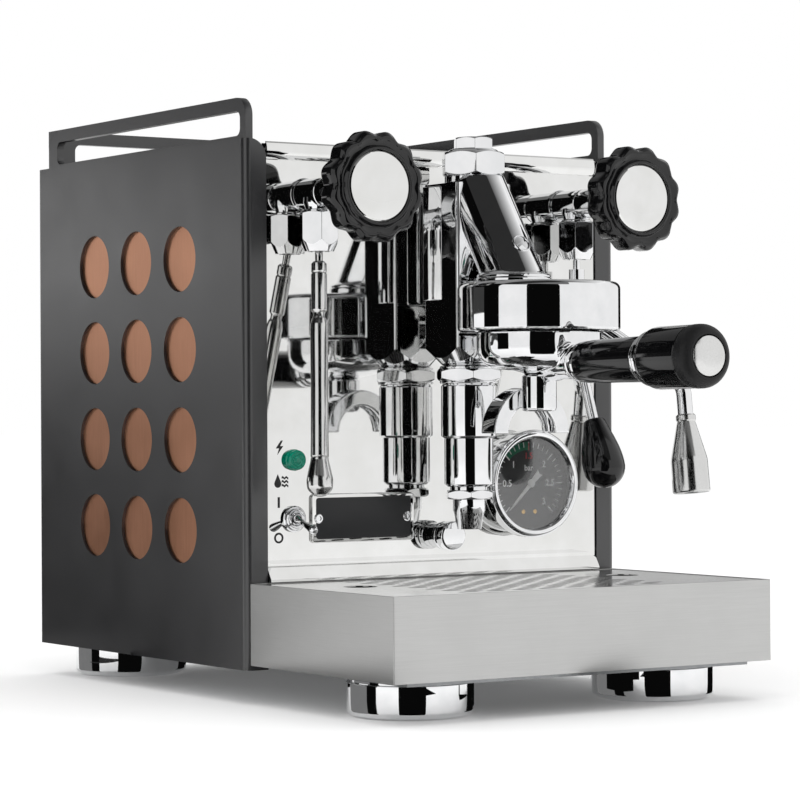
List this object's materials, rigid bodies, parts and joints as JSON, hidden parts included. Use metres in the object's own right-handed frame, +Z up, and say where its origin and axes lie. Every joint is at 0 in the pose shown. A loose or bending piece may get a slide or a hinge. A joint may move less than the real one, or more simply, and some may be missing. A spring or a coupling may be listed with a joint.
{
  "type": "espresso machine",
  "caption": "Lever-group espresso machine with black side panels, mirror front, steam and water valves, pressure gauge, portafilter, drip tray and cup rail.",
  "frame": {"origin": "centre of the bounding box on the floor, under the feet", "axes": "+X to the user's right, +Y to the back of the machine and +Z up"},
  "size_m": [0.3008, 0.5336, 0.36],
  "materials": {
    "panel_black": "matte black powder coat",
    "copper_sheet": "satin copper-coloured sheet",
    "mirror_steel": "mirror-polished stainless steel",
    "satin_steel": "satin stainless steel",
    "plain_steel": "plain folded steel",
    "chrome": "bright chrome plate",
    "gloss_black": "glossy black moulding",
    "matte_black": "matte black moulding",
    "rubber_black": "black rubber",
    "dial_black": "black printed dial",
    "needle_grey": "light grey paint",
    "clear_glass": "clear glass",
    "green_lens": "translucent green lens",
    "copper_metal": "bare copper",
    "tank_plastic": "milky clear plastic",
    "brass": "bare brass"
  },
  "bodies": {
    "chassis": {"left_side_panel": "panel_black", "right_side_panel": "panel_black", "cup_rails": "panel_black", "copper_inserts": "copper_sheet", "base_plate": "plain_steel", "front_panel": "mirror_steel", "front_bulkhead": "plain_steel", "rear_panel": "satin_steel", "feet": "chrome", "group_body": "chrome", "mushroom_nut": "chrome", "group_plugs": "chrome", "infusion_chamber": "chrome", "drain_nozzle": "chrome", "cam_bush": "chrome", "group_gasket": "rubber_black", "shower_screen": "satin_steel", "valve_bodies": "chrome", "bonnet_nuts": "chrome", "outlet_nuts": "chrome", "gauge_case": "chrome", "gauge_dial": "dial_black", "gauge_glass": "clear_glass", "switch_bushing": "chrome", "pilot_lamp": "green_lens", "badge_plate": "chrome", "panel_screws": "chrome", "outlet_cap": "chrome", "boiler": "copper_metal", "heating_element": "plain_steel", "inner_brackets": "plain_steel", "water_tank": "tank_plastic", "pump": "matte_black", "control_box": "matte_black", "copper_pipes": "copper_metal", "mains_inlet": "matte_black"},
    "cup_tray": {"cup_tray": "mirror_steel"},
    "drip_tray": {"drip_tray": "satin_steel"},
    "drip_grid": {"drip_grid": "mirror_steel"},
    "steam_control": {"steam_stem": "brass", "steam_knob": "gloss_black", "steam_knob_cap": "chrome"},
    "water_control": {"water_stem": "brass", "water_knob": "gloss_black", "water_knob_cap": "chrome"},
    "steam_wand": {"steam_wand": "chrome", "steam_tip": "chrome"},
    "water_wand": {"water_wand": "chrome", "water_tip": "chrome"},
    "brew_lever": {"lever_shaft": "chrome", "lever_knob": "gloss_black"},
    "portafilter": {"portafilter_body": "chrome", "filter_basket": "satin_steel", "portafilter_spout": "chrome", "handle_grip": "gloss_black", "handle_front": "gloss_black", "handle_end_collar": "matte_black", "handle_trim": "chrome"},
    "gauge_needle": {"gauge_needle": "needle_grey"},
    "switch_lever": {"switch_lever": "chrome"}
  },
  "joints": [
    {"name": "cup_tray_lift", "type": "slide", "parent": "chassis", "child": "cup_tray", "axis": [0, 0, 1], "range_m": [0, 0.06]},
    {"name": "drip_tray_slide", "type": "slide", "parent": "chassis", "child": "drip_tray", "axis": [0, -1, 0], "range_m": [0, 0.15]},
    {"name": "drip_grid_lift", "type": "slide", "parent": "drip_tray", "child": "drip_grid", "axis": [0, 0, 1], "range_m": [0, 0.015]},
    {"name": "steam_knob_turn", "type": "hinge", "parent": "chassis", "child": "steam_control", "pos_m": [-0.1089, -0.0681, 0.3025], "axis": [0, -1, 0], "range_deg": [0, 540]},
    {"name": "water_knob_turn", "type": "hinge", "parent": "chassis", "child": "water_control", "pos_m": [0.0821, -0.0681, 0.3025], "axis": [0, -1, 0], "range_deg": [0, 540]},
    {"name": "steam_wand_swing", "type": "hinge", "parent": "chassis", "child": "steam_wand", "pos_m": [-0.1089, -0.0236, 0.2748], "axis": [0, 1, 0], "range_deg": [-25, 20]},
    {"name": "water_wand_swivel", "type": "hinge", "parent": "chassis", "child": "water_wand", "pos_m": [0.0821, -0.0236, 0.2748], "axis": [0, 0, 1], "range_deg": [-35, 30]},
    {"name": "brew_lever_lift", "type": "hinge", "parent": "chassis", "child": "brew_lever", "pos_m": [0.0646, -0.0411, 0.228], "axis": [-1, 0, 0], "range_deg": [0, 70]},
    {"name": "portafilter_turn", "type": "hinge", "parent": "chassis", "child": "portafilter", "pos_m": [-0.0134, -0.1131, 0.225], "axis": [0, 0, 1], "range_deg": [-45, 0]},
    {"name": "gauge_needle_turn", "type": "hinge", "parent": "chassis", "child": "gauge_needle", "pos_m": [0.0471, -0.022, 0.128], "axis": [0, 1, 0], "range_deg": [0, 270], "stiffness_Nm_per_rad": 0.001, "springref_deg": -17.19},
    {"name": "power_switch_toggle", "type": "hinge", "parent": "chassis", "child": "switch_lever", "pos_m": [-0.1174, -0.0116, 0.1094], "axis": [-1, 0, 0], "range_deg": [0, 35]}
  ]
}
